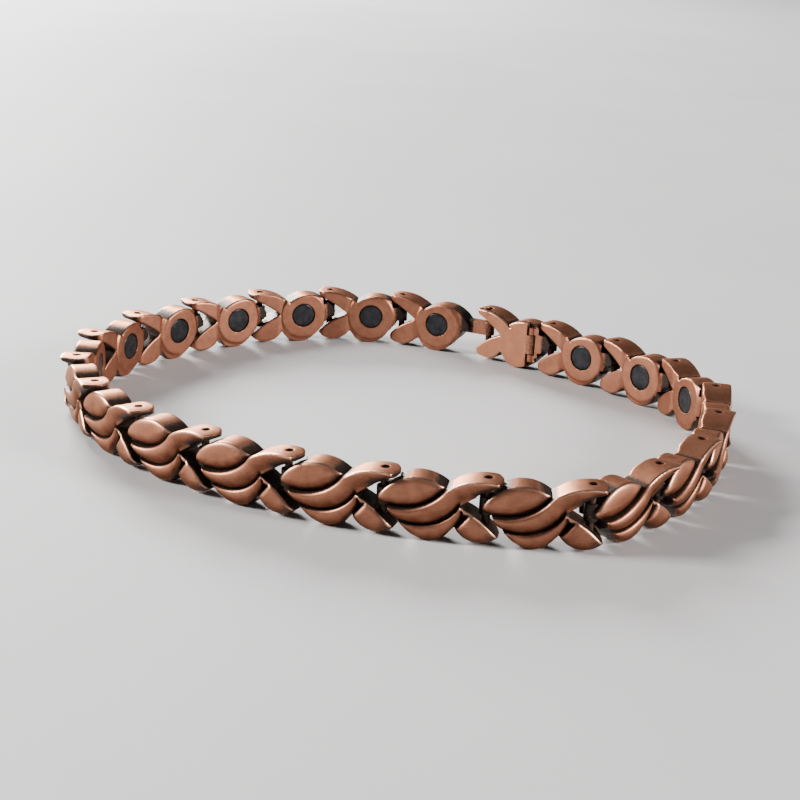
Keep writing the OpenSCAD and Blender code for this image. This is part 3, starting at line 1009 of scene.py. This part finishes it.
def make_links():
    """The 21 links: one form for all but the first, whose tongue is longer"""
    first, first_quads = contour(end_link_field, LONG_LINK_LOW, LINK_HIGH, LINK_STEP)
    common, common_quads = contour(link_field, LINK_LOW, LINK_HIGH, LINK_STEP)
    first_layers = cast_layers(end_link_field, first, 0, wear_and_painted_light)
    common_layers = cast_layers(link_field, common, 0, wear_and_painted_light)
    for i in range(LINKS):
        name = "link_%02d" % (i + 1)
        p, quads, layers = first, first_quads, first_layers
        if i > 0:
            p, quads = common, common_quads
            layers = dict(common_layers, grain=common_layers["grain"] + CAST_SHIFT * i)
        make_object("cast_" + name, "root", at_link(i, p), quads, link_copper, layers, name)


def make_clasp():
    p, quads = contour(clasp_link_field, LINK_LOW, LINK_HIGH, CLASP_STEP)
    make_object("cast_clasp_link", "root", at_link(CLASP, p), quads, link_copper,
                cast_layers(clasp_link_field, p, CLASP, wear_and_painted_light), "clasp_link")
    p, quads = contour(lever_field, LEVER_LOW, LEVER_HIGH, LEVER_STEP)
    make_object("cast_clasp_lever", "clasp_lever", at_link(CLASP, p), quads, lever_copper,
                cast_layers(lever_field, p, CLASP, plain_wear), "clasp_lever")


def turned_layers(grain, oxide_and_shade):
    """Point attributes of a turned piece, which has the same oxide all over"""
    nothing = np.zeros(len(grain))
    return {"grain": grain, "oxide_and_shade": nothing + oxide_and_shade, "burnish_and_highlight": nothing, "painted_shade": nothing}


def make_magnets():
    low, high = MAGNET_SPAN
    profile = [(0, low), (MAGNET_R / 2, low)]
    for k in range(QUARTER_STEPS, 0, -1):
        w = k * math.pi / 2 / QUARTER_STEPS
        profile.append((MAGNET_R - MAGNET_EDGE + MAGNET_EDGE * math.cos(w),
                        low + MAGNET_EDGE - MAGNET_EDGE * math.sin(w)))
    profile += [(MAGNET_R, low + MAGNET_EDGE), (MAGNET_R, high - MAGNET_HIDDEN_EDGE),
                (MAGNET_R - MAGNET_HIDDEN_EDGE, high), (0, high)]
    v, faces = lathe(profile, MAGNET_SEGMENTS)
    local = np.column_stack([v[:, 0] + CUP[0], v[:, 2], v[:, 1] + CUP[1]])
    for i in range(LINKS):
        name = "magnet_%02d" % (i + 1)
        make_object("disc_" + name, "root", at_link(i, local), faces, magnet_material,
                    turned_layers(local + TURNED_SHIFT * i, 0), name)


def pin_form(radius, low, high, edge, segments):
    profile = [(0, low), (radius - edge, low), (radius, low + edge)]
    profile += [(radius - inward * edge, high - downward * edge) for inward, downward in HEAD_POINTS]
    return lathe(profile + [(0, high)], segments)


def make_loop_pins():
    """The loop's pins, which are one node in the source and one piece here"""
    v, faces = pin_form(PIN_R, PIN_BOTTOM, PIN_TOP, PIN_EDGE, PIN_SEGMENTS)
    points = np.concatenate([v + [x, y, 0] for x, y in PINS])
    grain = np.concatenate([v + TURNED_SHIFT * i for i in range(len(PINS))])
    all_faces = [tuple(i * len(v) + k for k in face) for i in range(len(PINS)) for face in faces]
    make_object("turned_link_pins", "root", points / MM_PER_M, all_faces, pin_copper,
                turned_layers(grain, PIN_OXIDE), "link_pins")


def make_hinge_pin():
    v, faces = pin_form(HINGE_PIN_R, LUGS[0][0], LUGS[1][1], HINGE_PIN_EDGE, HINGE_PIN_SEGMENTS)
    local = np.column_stack([v[:, 0] + HINGE[0], -v[:, 1] + HINGE[1], v[:, 2]])
    make_object("turned_clasp_pin", "root", at_link(CLASP, local), faces, pin_copper,
                turned_layers(local + TURNED_SHIFT * CLASP, HINGE_PIN_OXIDE), "clasp_pin")


def make_floor():
    corners = [(FLOOR_X[0], FLOOR_Y[0], 0), (FLOOR_X[1], FLOOR_Y[0], 0),
               (FLOOR_X[1], FLOOR_Y[1], 0), (FLOOR_X[0], FLOOR_Y[1], 0)]
    mesh = bpy.data.meshes.new("floor")
    mesh.from_pydata(corners, [], [(0, 1, 2, 3)])
    mesh.materials.append(pale_floor())
    floor = bpy.data.objects.new("floor", mesh)
    bpy.context.scene.collection.objects.link(floor)


def soft_light(name, place, aim, size, watts, colour):
    data = bpy.data.lights.new(name, "AREA")
    data.shape = "DISK"
    data.size = size
    data.energy = watts
    data.color = colour
    lamp = bpy.data.objects.new(name, data)
    lamp.location = place
    lamp.rotation_euler = (Vector(aim) - Vector(place)).to_track_quat("-Z", "Y").to_euler()
    bpy.context.scene.collection.objects.link(lamp)


def make_lights():
    world = bpy.data.worlds.new("studio")
    world.use_nodes = True
    background = world.node_tree.nodes["Background"]
    background.inputs["Color"].default_value = WORLD_COLOUR
    background.inputs["Strength"].default_value = WORLD_STRENGTH
    bpy.context.scene.world = world
    soft_light("back", place=(-0.45, 1.0, 0.42), aim=(0, 0, 0), size=0.45, watts=34, colour=(1, 0.98, 0.96))
    soft_light("left", place=(-0.8, -0.05, 0.4), aim=(0, 0, 0), size=0.25, watts=16, colour=(1, 0.97, 0.94))
    soft_light("right", place=(0.8, -0.3, 0.36), aim=(0.03, 0, 0), size=0.25, watts=13,
               colour=(1, 0.95, 0.92))


def make_camera():
    """The photograph's view: a lens of 71 mm on a 36 mm wide picture, 18 degrees over the floor"""
    rise, roll = math.radians(CAMERA_RISE), math.radians(CAMERA_ROLL)
    back = Vector((0, -math.cos(rise), math.sin(rise)))
    right = Vector((1, 0, 0))
    up = right.cross(-back)
    across_picture = math.cos(roll) * right + math.sin(roll) * up
    up_picture = -math.sin(roll) * right + math.cos(roll) * up
    place = (Vector(CAMERA_AIM) + back * CAMERA_DISTANCE) / MM_PER_M
    data = bpy.data.cameras.new("camera")
    data.sensor_width = SENSOR
    data.lens = FOCAL_PIXELS * SENSOR / PICTURE_PIXELS
    data.clip_start = CLIP_START
    camera = bpy.data.objects.new("camera", data)
    turn = Matrix((across_picture, up_picture, back)).transposed()
    camera.matrix_world = Matrix.Translation(place) @ turn.to_4x4()
    bpy.context.scene.collection.objects.link(camera)
    bpy.context.scene.camera = camera


make_links()
make_clasp()
make_magnets()
make_loop_pins()
make_hinge_pin()
make_floor()
make_lights()
make_camera()

bpy.context.view_layer.update()
